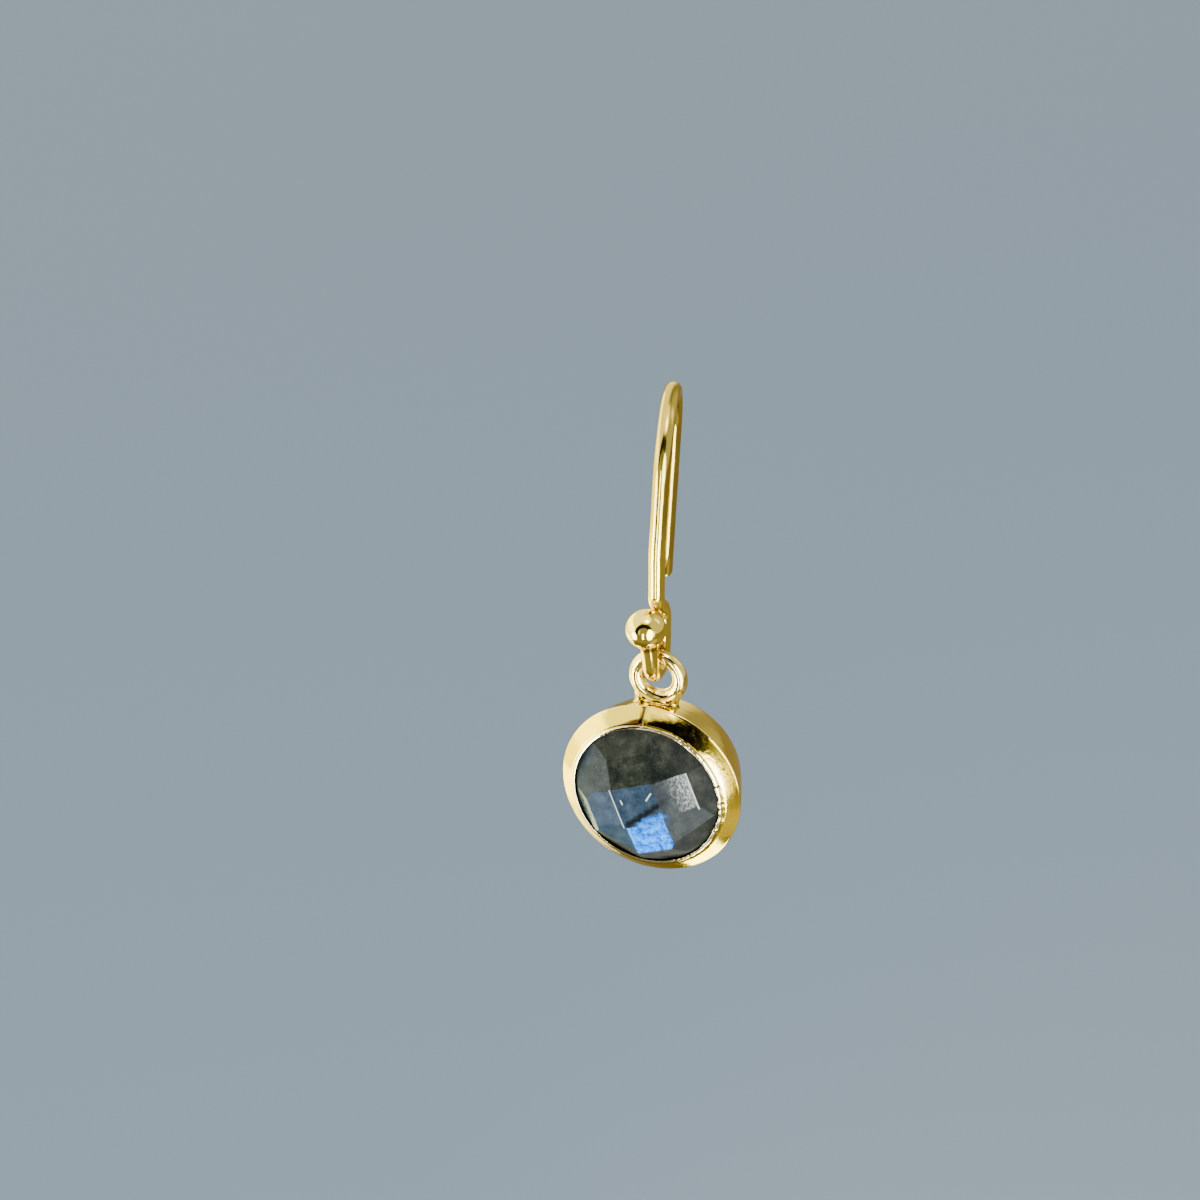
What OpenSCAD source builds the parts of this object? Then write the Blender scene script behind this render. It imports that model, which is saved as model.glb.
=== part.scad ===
// Dangle earring: a bent wire ear hook with a ball end, and a round bezel pendant with a faceted stone.
// Millimetres, +Z up. The pendant faces -Y. The origin is the underside of the hook's arch, where it hangs.

/* [Ear hook] */
// Diameter of the hook's round wire
wire_d = 1.04; // [0.9:0.01:1.1]
// Radius of the arch that goes through the ear, to the middle of the wire
arch_r = 4; // [3.6:0.1:4.6]
// Turn of the arch about the upright wire, away from the pendant's front, in degrees
arch_turn = 13.5; // [0:0.5:20]
// Sideways lean of the arch and of the upper shank, in degrees
arch_lean = 2.6; // [0.5:0.1:4]
// Length of the leaning upper shank
upper_shank = 4; // [3:0.1:6]
// Length of the upright lower shank
lower_shank = 2.35; // [1:0.05:4]
// Length of the straight tail behind the ear
tail_len = 8.6; // [6:0.1:10]
// Outward kick of the tail's end, in degrees
tail_kick = 20; // [5:1:30]
// Bend radius of the two S-bends below the shank
s_bend_r = 1.2; // [1.1:0.05:1.4]
// Angle of each of the two S-bends, in degrees
s_bend = 63; // [55:1:70]
// Straight drop behind the ball
back_drop = 2.25; // [2:0.05:3]
// Radius of the small loop that carries the pendant, to the middle of the wire
loop_r = 1.09; // [1.08:0.01:1.2]
// Turn of the small loop away from the pendant's front, in degrees
loop_turn = 0; // [-6:1:3]
// Sideways lean of the wire's front end, which carries the ball, in degrees
end_lean = 5; // [2:1:8]
// Diameter of the ball on the wire's front end
ball_d = 2.54; // [2:0.02:2.6]

/* [Hanging ring] */
// Diameter of the ring's round wire
ring_wire = 0.9; // [0.8:0.02:0.94]
// Radius of the ring, to the middle of its wire
ring_r = 1.43; // [1.38:0.01:1.5]
// Sideways place of the ring on the small loop
ring_shift = 0.15; // [0:0.01:0.2]
// Width of the solder foot where it meets the bezel
foot_w = 2.8; // [2.4:0.1:3.2]

/* [Bezel] */
// Radius of the ridge, the widest line of the bezel
ridge_r = 5.97; // [5.9:0.01:6.2]
// Radius of the lip that holds the stone
lip_r = 4.8; // [4.7:0.01:4.85]
// Distance from the ridge forward to the lip's edge
slope_h = 1.02; // [0.95:0.01:1.2]
// Distance from the ridge back to the flat back
side_h = 3.4; // [3.2:0.05:3.6]
// Radius of the side wall where it meets the back
back_r = 4.95; // [4.8:0.05:5.1]
// Outward bulge of the side wall at half its depth
side_bulge = 0.05; // [0.02:0.01:0.1]
// Thickness of the back plate
back_t = 0.94; // [0.5:0.02:1.2]

/* [Stone] */
// Radius of the stone at its girdle
stone_r = 4.98; // [4.9:0.01:5]
// Distance from the ridge forward to the flat table
table_h = 2.3; // [2.2:0.05:2.4]
// Turn of the facet grid about the stone's axis, in degrees
grid_turn = 21.5; // [0:0.5:45]
// Slope of the facets above the table, rise over run
slope_high = 0.48; // [0.4:0.01:0.5]
// Slope of the facets below the table
slope_low = 0.1; // [0.08:0.01:0.15]
// Slope of the facets left of the table
slope_left = 0.2; // [0.15:0.01:0.25]
// Slope of the facets right of the table
slope_right = 0.43; // [0.35:0.01:0.45]
// Radius of the stone's flat base
base_r = 4.25; // [4:0.05:4.3]

/* [Fit] */
// Gap between the stone and the metal round it
gap = 0.1; // [0.08:0.01:0.12]

/* [Hidden] */
$fn = 96;

gold = [0.86, 0.7, 0.36];
labradorite = [0.27, 0.31, 0.33];

// A row of a bending table: straight length, turn of the bending plane, bend radius, bend angle
STRAIGHT = 0;
TURN = 1;
RADIUS = 2;
ANGLE = 3;

// The wire is bent from the arch's top in two runs, one to the front and one to the back.
// Heading down the shank, a turn of 90 points the bend to the right and 0 points it back.
lean_r = 30;
tail_r = 6;
end_r = 3;
loop_angle = 172;
loop_step = 4;
front_steps = [
    [0, 0, arch_r, 90],
    [upper_shank, 90, lean_r, arch_lean],
    [lower_shank, arch_turn - loop_turn - 90, s_bend_r, s_bend],
    [0, 180, s_bend_r, s_bend],
    [back_drop, 0, loop_r, loop_angle],
    [0, 90, end_r, end_lean]
];
back_steps = [
    [0, 0, arch_r, 90],
    [tail_len, 180, tail_r, tail_kick]
];
// Straight rise from the last bend up to the ball's centre
ball_rise = 2.54;
// A ball a hair wider than the wire rounds each joint between two pieces, and the tail's tip
joint_d = wire_d + 0.012;

function move(x, y, z) = [[1, 0, 0, x], [0, 1, 0, y], [0, 0, 1, z], [0, 0, 0, 1]];
function about_z(a) = [[cos(a), -sin(a), 0, 0], [sin(a), cos(a), 0, 0], [0, 0, 1, 0], [0, 0, 0, 1]];
function about_y(a) = [[cos(a), 0, sin(a), 0], [0, 1, 0, 0], [-sin(a), 0, cos(a), 0], [0, 0, 0, 1]];
function bend_end(s) =
    move(s[RADIUS] * (1 - cos(s[ANGLE])), 0, s[RADIUS] * sin(s[ANGLE])) * about_y(s[ANGLE]);
function bend_start(s) = move(0, 0, s[STRAIGHT]) * about_z(s[TURN]);
function frame_at(start, steps, i) =
    i == 0 ? start : frame_at(start, steps, i - 1) * bend_start(steps[i - 1]) * bend_end(steps[i - 1]);

// Both runs start at the arch's top with their bending plane pointing down
arch_top = move(0, 0, wire_d / 2) * about_z(arch_turn);
facing_front = [[0, 1, 0, 0], [0, 0, -1, 0], [-1, 0, 0, 0], [0, 0, 0, 1]];
facing_back = [[0, -1, 0, 0], [0, 0, 1, 0], [-1, 0, 0, 0], [0, 0, 0, 1]];
front_start = arch_top * facing_front * about_z(-arch_lean);
back_start = arch_top * facing_back * about_z(arch_lean);

// The centre of the small loop is the point that the ring's top wire turns about
hinge_frame = frame_at(front_start, front_steps, loop_step)
    * bend_start(front_steps[loop_step]) * move(loop_r, 0, 0);
hinge = [hinge_frame[0][3], hinge_frame[1][3], hinge_frame[2][3]];

// The ring stands on the side wall, this far behind the ridge, over the pendant's centre of mass,
// and its centre is this high over the middle of the stone
ring_back = 1.33;
ring_height = 7.44;
pendant = hinge + [ring_shift, -ring_back, -ring_height - ring_r];

// A piece of wire: a straight length and then a bend
module bent_wire(s) {
    if (s[STRAIGHT] > 0) {
        cylinder(h = s[STRAIGHT], d = wire_d);
        sphere(d = joint_d);
    }
    translate([0, 0, s[STRAIGHT]]) {
        sphere(d = joint_d);
        rotate([0, 0, s[TURN]])
            translate([s[RADIUS], 0, 0])
                rotate([90, 0, 180])
                    rotate_extrude(angle = s[ANGLE])
                        translate([s[RADIUS], 0])
                            circle(d = wire_d);
    }
}

module wire_run(start, steps) {
    for (i = [0 : len(steps) - 1])
        multmatrix(frame_at(start, steps, i))
            bent_wire(steps[i]);
}

module ear_hook() {
    color(gold) {
        wire_run(front_start, front_steps);
        wire_run(back_start, back_steps);
        multmatrix(frame_at(back_start, back_steps, len(back_steps)))
            sphere(d = joint_d);
        multmatrix(frame_at(front_start, front_steps, len(front_steps))) {
            sphere(d = joint_d);
            cylinder(h = ball_rise, d = wire_d);
            translate([0, 0, ball_rise])
                sphere(d = ball_d);
        }
    }
}

// Points along an arc from a to b that bulges by sag to its right, with n steps
function arc_points(a, b, sag, n) =
    let (
        chord = b - a,
        side = [chord.y, -chord.x] / norm(chord)
    )
    [for (i = [0 : n]) a + chord * i / n + side * sag * 4 * (i / n) * (1 - i / n)];

// The bezel's section, radius against distance in front of the ridge
back_edge = 0.22;
ridge_edge = 0.08;
lip_t = 0.16;
lip_drop = 0.18;
girdle_low = -0.35;
side_line = arc_points([back_r, back_edge - side_h], [ridge_r, -ridge_edge], side_bulge, 6);
stone_base = back_t - side_h + gap;
bezel_section = concat(
    [[0, -side_h], [back_r - back_edge, -side_h]],
    side_line,
    [
        [ridge_r - ridge_edge, ridge_edge],
        [lip_r + lip_t, slope_h - ridge_edge / 2],
        [lip_r + lip_t / 2, slope_h],
        [lip_r, slope_h - ridge_edge / 2],
        [lip_r, slope_h - lip_drop],
        [stone_r + gap, slope_h - lip_drop - gap],
        [stone_r + gap, girdle_low - gap / 2],
        [base_r + gap, stone_base - gap],
        [0, stone_base - gap]
    ]
);

// The solder foot fills the lower half of the ring, flares out and is sunk into the side wall
foot_t = 0.7;
foot_sink = 0.3;
wall_r = ridge_r - ring_back * (ridge_r - back_r) / side_h;
module solder_foot() {
    translate([0, foot_t / 2, 0])
        rotate([90, 0, 0])
            linear_extrude(foot_t)
                difference() {
                    polygon([
                        [-foot_w / 2, wall_r - foot_sink],
                        [foot_w / 2, wall_r - foot_sink],
                        [ring_r, ring_height],
                        [-ring_r, ring_height]
                    ]);
                    translate([0, ring_height])
                        circle(r = ring_r);
                }
}

module bezel() {
    color(gold)
        translate(pendant) {
            rotate([90, 0, 0])
                rotate_extrude()
                    polygon(bezel_section);
            translate([0, ring_back, 0]) {
                translate([0, 0, ring_height])
                    rotate([90, 0, 0])
                        rotate_extrude()
                            translate([ring_r, 0])
                                circle(d = ring_wire);
                solder_foot();
            }
        }
}

// Places of the table's sides on the facet grid, and the slope of the facets beyond each
u_sides = [-1.6, 1.34];
v_sides = [-1.4, 1.4];
u_slopes = [-slope_left, slope_right];
v_slopes = [-slope_low, slope_high];

// The four corner facets are cut this much deeper than the table's corners
corner_drop = 0.03;

// A row for each facet of the outer ring: turn from the grid's axis, slope, height where it meets the lip
OUTER_TURN = 0;
OUTER_SLOPE = 1;
LIP_HEIGHT = 2;
outer_facets = [
    [0, 0.59, 0.6],
    [45, 0.75, 0.3],
    [90, 0.62, 0.43],
    [135, 0.8, 0.6],
    [180, 1.03, 0.65],
    [225, 1, 0.65],
    [270, 1.04, 0.65],
    [315, 0.85, 0.65]
];

// Slope across the table for k = 0, and beyond its low or high side for k = -1 or 1
function slope_of(slopes, k) = k == 0 ? 0 : slopes[(k + 1) / 2];
function axis_rise(sides, slopes, k) = k == 0 ? 0 : slope_of(slopes, k) * sides[(k + 1) / 2];

// The blank's flat front is the table, its shoulder passes below the lip, and each cut is wider than it
shoulder = [[stone_r, 0.5], [lip_r - 0.08, 0.78], [lip_r - 0.4, 1.4]];
cut_size = 20;

// Everything in front of a facet that falls by slope along the grid and has height h on the stone's axis
module facet_cut(slope, h) {
    translate([0, 0, h])
        rotate([0, atan(norm(slope)), atan2(slope.y, slope.x)])
            translate([-cut_size / 2, -cut_size / 2, 0])
                cube([cut_size, cut_size, cut_size / 2]);
}

module stone() {
    color(labradorite)
        translate(pendant)
            rotate([90, 0, 0])
                rotate([0, 0, grid_turn])
                    difference() {
                        rotate_extrude()
                            polygon(concat(
                                [[0, stone_base], [base_r, stone_base], [stone_r, girdle_low]],
                                shoulder,
                                [[lip_r - 0.4, table_h], [0, table_h]]
                            ));
                        for (i = [-1 : 1])
                            for (j = [-1 : 1])
                                if (i != 0 || j != 0)
                                    facet_cut(
                                        [slope_of(u_slopes, i), slope_of(v_slopes, j)],
                                        table_h + axis_rise(u_sides, u_slopes, i)
                                            + axis_rise(v_sides, v_slopes, j) - corner_drop * abs(i * j)
                                    );
                        for (f = outer_facets)
                            facet_cut(
                                f[OUTER_SLOPE] * [cos(f[OUTER_TURN]), sin(f[OUTER_TURN])],
                                f[LIP_HEIGHT] + f[OUTER_SLOPE] * lip_r
                            );
                    }
}

ear_hook();
bezel();
stone();
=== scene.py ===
import math

import bmesh
import bpy
import numpy as np
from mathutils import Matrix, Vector


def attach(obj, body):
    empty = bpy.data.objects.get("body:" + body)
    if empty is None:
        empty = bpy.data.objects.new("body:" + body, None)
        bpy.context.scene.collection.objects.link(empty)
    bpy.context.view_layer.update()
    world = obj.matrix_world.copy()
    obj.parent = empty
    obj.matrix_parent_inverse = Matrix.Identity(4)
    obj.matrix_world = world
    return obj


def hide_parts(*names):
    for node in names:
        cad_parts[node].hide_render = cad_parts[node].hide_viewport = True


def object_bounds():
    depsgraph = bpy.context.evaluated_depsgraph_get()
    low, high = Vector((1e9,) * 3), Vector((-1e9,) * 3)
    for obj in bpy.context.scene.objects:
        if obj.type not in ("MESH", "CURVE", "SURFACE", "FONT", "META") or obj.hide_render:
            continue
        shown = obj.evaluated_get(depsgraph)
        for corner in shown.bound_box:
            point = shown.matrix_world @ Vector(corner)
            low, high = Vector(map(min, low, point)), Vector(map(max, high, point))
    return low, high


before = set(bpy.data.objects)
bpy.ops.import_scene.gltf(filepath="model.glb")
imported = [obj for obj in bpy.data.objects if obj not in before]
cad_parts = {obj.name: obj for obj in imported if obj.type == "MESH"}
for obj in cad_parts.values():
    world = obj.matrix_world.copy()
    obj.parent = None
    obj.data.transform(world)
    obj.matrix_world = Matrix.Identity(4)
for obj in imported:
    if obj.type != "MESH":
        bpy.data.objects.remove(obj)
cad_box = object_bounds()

# Ear hook. One length of round brass wire, bent by hand into a French hook with a small S-bend and a loop at
# its foot, polished and gold plated. A solid ball is soldered to its front end and keeps the pendant on.
# Lengths here and in the later sections are millimetres, and a finished mesh is turned into metres.
MILLIMETRE = 0.001
WIRE_R = 0.52
BALL_R = 1.27
BALL_RISE = 2.54
NECK_FILLET = 0.22
ARCH_R = 4
ARCH_TURN = 13.5
ARCH_LEAN = 2.6
S_BEND_R = 1.2
S_BEND = 63
LOOP_R = 1.09
LOOP_TURN = 0
END_LEAN = 5
# Each row of a bending table: straight length, turn of the bending plane, bend radius, bend angle
FRONT_BENDS = [
    (0, 0, ARCH_R, 90),
    (4, 90, 30, ARCH_LEAN),
    (2.35, ARCH_TURN - LOOP_TURN - 90, S_BEND_R, S_BEND),
    (0, 180, S_BEND_R, S_BEND),
    (2.25, 0, LOOP_R, 172),
    (0, 90, 3, END_LEAN),
]
BACK_BENDS = [(0, 0, ARCH_R, 90), (8.6, 180, 6, 20)]
LOOP_BEND = 4


def shifted(x, y, z):
    m = np.eye(4)
    m[:3, 3] = (x, y, z)
    return m


def about_z(degrees):
    c, s = math.cos(math.radians(degrees)), math.sin(math.radians(degrees))
    return np.array([[c, -s, 0, 0], [s, c, 0, 0], [0, 0, 1, 0], [0, 0, 0, 1]])


def bent(radius, degrees):
    """The wire's frame after a bend towards its own X, heading along its own Z."""
    c, s = math.cos(math.radians(degrees)), math.sin(math.radians(degrees))
    return np.array([[c, 0, s, radius * (1 - c)], [0, 1, 0, 0], [-s, 0, c, radius * s], [0, 0, 0, 1]])


def bend_wire(start, bends, step=0.05):
    """Centre line of a run of wire, the frame at its end, and the centre of each bend."""
    points, centres, m = [start[:3, 3]], [], start
    for straight, turn, radius, angle in bends:
        count = max(1, round(straight / step))
        points += [(m @ shifted(0, 0, straight * k / count))[:3, 3] for k in range(1, count + 1)]
        m = m @ shifted(0, 0, straight) @ about_z(turn)
        centres.append((m @ shifted(radius, 0, 0))[:3, 3])
        count = max(8, round(radius * math.radians(angle) / step))
        points += [(m @ bent(radius, angle * k / count))[:3, 3] for k in range(1, count + 1)]
        m = m @ bent(radius, angle)
    return np.array(points), m, centres


arch_top = shifted(0, 0, WIRE_R) @ about_z(ARCH_TURN)
facing_front = np.array([[0, 1, 0, 0], [0, 0, -1, 0], [-1, 0, 0, 0], [0, 0, 0, 1]])
facing_back = np.array([[0, -1, 0, 0], [0, 0, 1, 0], [-1, 0, 0, 0], [0, 0, 0, 1]])
front_line, front_end, bend_centres = bend_wire(arch_top @ facing_front @ about_z(-ARCH_LEAN), FRONT_BENDS)
back_line, _, _ = bend_wire(arch_top @ facing_back @ about_z(ARCH_LEAN), BACK_BENDS)
hinge = bend_centres[LOOP_BEND]
ball_centre = (front_end @ shifted(0, 0, BALL_RISE))[:3, 3]
hook_line = np.vstack([back_line[::-1], front_line[1:], [ball_centre]])


def along(line, distances):
    """Points at the given distances along a line, which runs on straight past its ends, and its length."""
    lengths = np.r_[0, np.cumsum(np.linalg.norm(np.diff(line, axis=0), axis=1))]
    points = np.stack([np.interp(distances, lengths, line[:, k]) for k in range(3)], -1)
    for end, before, past in ((0, 1, -distances), (-1, -2, distances - lengths[-1])):
        out = line[end] - line[before]
        out = out / np.linalg.norm(out)
        points += np.clip(past, 0, None)[:, None] * out
    return points, lengths[-1]


def uneven(points, size, seed):
    """A smooth random value from about -1 to 1 that changes over about size, as hand work does."""
    rng = np.random.default_rng(seed)
    total = np.zeros(len(points))
    for _ in range(9):
        wave = rng.normal(size=3)
        wave *= 2 * math.pi / size * rng.uniform(0.6, 1.3) / np.linalg.norm(wave)
        total += np.sin(points @ wave + rng.uniform(0, 2 * math.pi))
    return total / 3.5


def hand_waves(points, *waves):
    """The sum of uneven values, each wave given as its depth, its length and its seed."""
    return sum(depth * uneven(points, length, seed) for depth, length, seed in waves)


def rise(value, start, run):
    """0 up to start and 1 from start + run on, with an even rise between them."""
    return np.clip((value - start) / run, 0, 1)


def hump(value, middle, width):
    """1 at the middle, falling smoothly to 0 on both sides over about the width."""
    return np.exp(-((value - middle) / width) ** 2)


def skin(rows, sides, turned_over=False):
    """Faces of a closed tube whose points are a pole, rows of so many sides, and a pole at the far end."""
    faces = []
    for r in range(rows - 1):
        for k in range(sides):
            here, beside = 1 + r * sides + k, 1 + r * sides + (k + 1) % sides
            faces.append((here, beside, beside + sides, here + sides))
    last = 1 + (rows - 1) * sides
    for k in range(sides):
        beside = (k + 1) % sides
        faces.append((0, 1 + beside, 1 + k))
        faces.append((last + sides, last + k, last + beside))
    return [(face[0], *face[:0:-1]) for face in faces] if turned_over else faces


def with_poles(values, start=0, end=0):
    """The values of a tube's rows in one run, with the value of a pole before and after them."""
    return np.concatenate([[start], np.reshape(values, (-1, *np.shape(start))), [end]])


def new_object(name, data):
    """An object in the scene that shows a mesh, a lamp or a lens."""
    made = bpy.data.objects.new(name, data)
    bpy.context.scene.collection.objects.link(made)
    return made


def new_piece(name, points, faces, grain=None, **amounts):
    """A smooth mesh object in metres. grain is a point in millimetres that the polishing lines follow, and
    each amount is a value at every point that the material reads by its name."""
    mesh = bpy.data.meshes.new(name)
    mesh.from_pydata((np.asarray(points) * MILLIMETRE).tolist(), [], faces)
    mesh.validate()
    mesh.shade_smooth()
    if grain is not None:
        values = mesh.attributes.new("grain", "FLOAT_VECTOR", "POINT")
        values.data.foreach_set("vector", np.asarray(grain, dtype=np.float32).ravel())
    for label, amount in amounts.items():
        values = mesh.attributes.new(label, "FLOAT", "POINT")
        values.data.foreach_set("value", np.asarray(amount, dtype=np.float32))
    return new_object(name, mesh)


HOOK_SIDES = 56
ROW_STEP = 0.07
FILLET_ROWS = 9
BALL_ROWS = 44
TIP_ANGLES = (12, 30, 48, 66, 80)
EASING = 3
# Waves that the pliers leave, and how far they are sunk so that the wire stays inside its real size
PLIER_WAVES = ((0.006, 2.2, 3), (0.003, 0.8, 4))
PLIER_SINK = 0.008
POLE_SINK = 0.01
_, hook_length = along(hook_line, np.array([0.0]))
neck = hook_length - math.sqrt((BALL_R + NECK_FILLET) ** 2 - (WIRE_R + NECK_FILLET) ** 2)
neck_turn = math.asin((WIRE_R + NECK_FILLET) / (BALL_R + NECK_FILLET))
# A station is a row's distance along the wire and its radius, from the rounded tail to the ball's far pole
tip = [(WIRE_R * (1 - math.cos(a)), WIRE_R * math.sin(a)) for a in np.radians(TIP_ANGLES)]
shaft = [(distance, WIRE_R) for distance in np.arange(WIRE_R, neck, ROW_STEP)]
flare = [
    (neck + NECK_FILLET * math.sin(a), WIRE_R + NECK_FILLET * (1 - math.cos(a)))
    for a in np.linspace(0, math.pi / 2 - neck_turn, FILLET_ROWS)
]
ball = [
    (hook_length - BALL_R * math.cos(a), BALL_R * math.sin(a))
    for a in np.linspace(neck_turn, math.pi, BALL_ROWS)[1:-1]
]
stations = np.array(tip + shaft + flare + ball)
# Bends made by hand start and end softly, so the line through the rows is eased
middles, _ = along(hook_line, stations[:, 0])
for _ in range(EASING):
    middles[1:-1] = (middles[:-2] + 2 * middles[1:-1] + middles[2:]) / 4
heading = np.gradient(middles, axis=0)
heading /= np.linalg.norm(heading, axis=1)[:, None]
# The buffing lines are long along the wire, so its length counts for little in them
LINE_STRETCH = 0.06
side = np.array([1.0, 0, 0])
hook_points, hook_grain = [], []
for middle, ahead, (distance, radius) in zip(middles, heading, stations):
    side = side - ahead * (side @ ahead)
    side /= np.linalg.norm(side)
    over = np.cross(ahead, side)
    for angle in np.linspace(0, 2 * math.pi, HOOK_SIDES, endpoint=False):
        out = side * math.cos(angle) + over * math.sin(angle)
        hook_points.append(middle + out * radius)
        hook_grain.append((distance * LINE_STRETCH, radius * math.cos(angle), radius * math.sin(angle)))
hook_points = np.array(hook_points)
outward = hook_points - np.repeat(middles, HOOK_SIDES, axis=0)
outward /= np.linalg.norm(outward, axis=1)[:, None]
hook_points += outward * (hand_waves(hook_points, *PLIER_WAVES) - PLIER_SINK)[:, None]
tail_pole, ball_pole = along(hook_line, np.array([0.0, hook_length + BALL_R - POLE_SINK]))[0]

# Painted shade darkens the ball's neck and the inside of the loop where the ring touches it, and the upper
# wire is darker brown towards the arch. The bends keep the pliers' marks, and the straight wire is duller
# than the foot. Places on the wire are counted up from the ball's centre.
NECK_SHADE_RUN = 0.16
CONTACT_REACH = 0.72
CONTACT_FADE = 0.12
BENT_AT = 11.5
BENT_RUN = 1.6
STRAIGHT_FROM = 10.5
STRAIGHT_FADE = 1.5
UPPER_FROM = 14
UPPER_FADE = 2.5
HOOK_WORN = 0.12
from_ball = hook_length - np.repeat(stations[:, 0], HOOK_SIDES)
neck_shade = hump(from_ball, hook_length - neck, NECK_SHADE_RUN)
loop_shade = rise(CONTACT_REACH - np.linalg.norm(hook_points - hinge, axis=1), 0, CONTACT_FADE)
straight_wire = rise(from_ball, STRAIGHT_FROM, STRAIGHT_FADE)
upper_wire = rise(from_ball, UPPER_FROM, UPPER_FADE)
ear_hook = new_piece(
    "ear_hook_wire",
    with_poles(hook_points, tail_pole, ball_pole),
    skin(len(stations), HOOK_SIDES),
    with_poles(hook_grain, (0, 0, 0), (stations[-1, 0] * LINE_STRETCH, 0, 0)),
    worn=np.full(len(hook_points) + 2, HOOK_WORN),
    # Painted shade at the ball's neck and inside the loop, and a darker brown upper wire
    grime=with_poles(np.clip(0.8 * neck_shade + 0.85 * loop_shade, 0, 1) + 0.42 * upper_wire),
    dull=with_poles(0.03 * straight_wire + 0.04 * upper_wire),
    marked=with_poles(0.25 + 0.6 * hump(from_ball, BENT_AT, BENT_RUN)),
)


NODE_SPACING = 200


def add(tree, kind, place, **settings):
    """A shader node at a place in the node editor, with its named properties set."""
    node = tree.nodes.new(kind)
    node.location = (place[0] * NODE_SPACING, place[1] * NODE_SPACING)
    for key, value in settings.items():
        setattr(node, key, value)
    return node


def feed(tree, socket, value):
    """Links an output to an input, or sets the input to a plain value or colour."""
    if isinstance(value, bpy.types.NodeSocket):
        tree.links.new(value, socket)
    else:
        socket.default_value = (*value, 1) if socket.type == "RGBA" else value


def new_group(name, inputs, outputs):
    """A node group with its input and output nodes. A socket is a name and a kind, and an input's default may
    follow."""
    group = bpy.data.node_groups.new(name, "ShaderNodeTree")
    for label, kind, *default in inputs:
        made = group.interface.new_socket(label, in_out="INPUT", socket_type="NodeSocket" + kind)
        if default:
            made.default_value = default[0]
    for label, kind in outputs:
        group.interface.new_socket(label, in_out="OUTPUT", socket_type="NodeSocket" + kind)
    return group, add(group, "NodeGroupInput", (-6, 0)), add(group, "NodeGroupOutput", (4, 0))


def new_material(name):
    """A material with its node tree and its surface shader."""
    made = bpy.data.materials.new(name)
    made.use_nodes = True
    return made, made.node_tree, made.node_tree.nodes["Principled BSDF"]


def mesh_value(tree, place, label, kind="Fac"):
    """A value that the mesh holds at each point or face, read by its name."""
    return add(tree, "ShaderNodeAttribute", place, attribute_name=label).outputs[kind]


def noise(tree, place, at, cells, detail, rough=0.5, kind=0):
    """A noise texture at some points, with so many cells to one unit of them. kind is its output."""
    made = add(tree, "ShaderNodeTexNoise", place)
    for label, value in (("Vector", at), ("Scale", cells), ("Detail", detail), ("Roughness", rough)):
        feed(tree, made.inputs[label], value)
    return made.outputs[kind]


def calc(tree, place, operation, a, b, clamp=False):
    """The result of one step of arithmetic on two values."""
    made = add(tree, "ShaderNodeMath", place, operation=operation, use_clamp=clamp)
    feed(tree, made.inputs[0], a)
    feed(tree, made.inputs[1], b)
    return made.outputs[0]


def remap(tree, place, value, low, high, new_low, new_high):
    """A value between low and high, brought to between new_low and new_high and held there."""
    made = add(tree, "ShaderNodeMapRange", place)
    feed(tree, made.inputs["Value"], value)
    for label, limit in (("From Min", low), ("From Max", high), ("To Min", new_low), ("To Max", new_high)):
        feed(tree, made.inputs[label], limit)
    return made.outputs["Result"]


def ramp(tree, place, factor, *stops):
    """A colour that runs from stop to stop as the factor grows, each stop a position and a colour."""
    made = add(tree, "ShaderNodeValToRGB", place)
    for k, (position, colour) in enumerate(stops):
        stop = made.color_ramp.elements[k] if k < 2 else made.color_ramp.elements.new(position)
        stop.position = position
        stop.color = (*colour, 1)
    feed(tree, made.inputs["Fac"], factor)
    return made.outputs["Color"]


def mixed(tree, place, factor, a, b):
    """Colour a where the factor is 0 and colour b where it is 1."""
    made = add(tree, "ShaderNodeMix", place, data_type="RGBA")
    for label, value in (("Factor", factor), ("A", a), ("B", b)):
        feed(tree, made.inputs[label], value)
    return made.outputs["Result"]


def relief(tree, place, height):
    """The surface's direction where a height in millimetres stands on it."""
    made = add(tree, "ShaderNodeBump", place)
    feed(tree, made.inputs["Distance"], MILLIMETRE)
    feed(tree, made.inputs["Height"], height)
    return made.outputs["Normal"]


# Polish. The buff leaves fine lines along the wire or round the cup, soft waves and small marks, and the tone
# and gloss of the plating drift from patch to patch. Height comes out in millimetres.
# The lines are counted in cells to a millimetre of grain, and the rest in cells to a metre.
LINE_CELLS = 9
WAVE_CELLS = 1400
PATCH_CELLS = 420
MARK_CELLS = 5500
# Roughness where the buff has run most and least
GLOSSY = 0.05
SATIN = 0.16
WARM_GOLD = (0.88, 0.69, 0.07)
DEEP_GOLD = (0.86, 0.64, 0.045)
PALE_WEAR_AND_HIGHLIGHT_GOLD = (1.0, 0.88, 0.5)
DIRT_AND_SHADE_BROWN = (0.07, 0.035, 0.008)
GLANCING_GOLD = (1, 0.86, 0.5)
polish, given, result = new_group(
    "buffed_gold",
    [("Grain", "Vector"), ("Worn", "Float", 0.0), ("Grime", "Float", 0.0), ("Dullness", "Float", 0.0),
     ("Line Depth", "Float", 0.0006), ("Wave Depth", "Float", 0.002), ("Mark Depth", "Float", 0.001)],
    [("Color", "Color"), ("Roughness", "Float"), ("Height", "Float")],
)
at_point = add(polish, "ShaderNodeTexCoord", (-6, -2)).outputs["Object"]
lines = noise(polish, (-4, 2), given.outputs["Grain"], LINE_CELLS, 4)
waves = noise(polish, (-4, 0), at_point, WAVE_CELLS, 2)
patches = noise(polish, (-4, -2), at_point, PATCH_CELLS, 6)
marks = noise(polish, (-4, 4), at_point, MARK_CELLS, 3)
line_height = calc(polish, (-2, 2), "MULTIPLY", lines, given.outputs["Line Depth"])
wave_height = calc(polish, (-2, 0), "MULTIPLY", waves, given.outputs["Wave Depth"])
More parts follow.
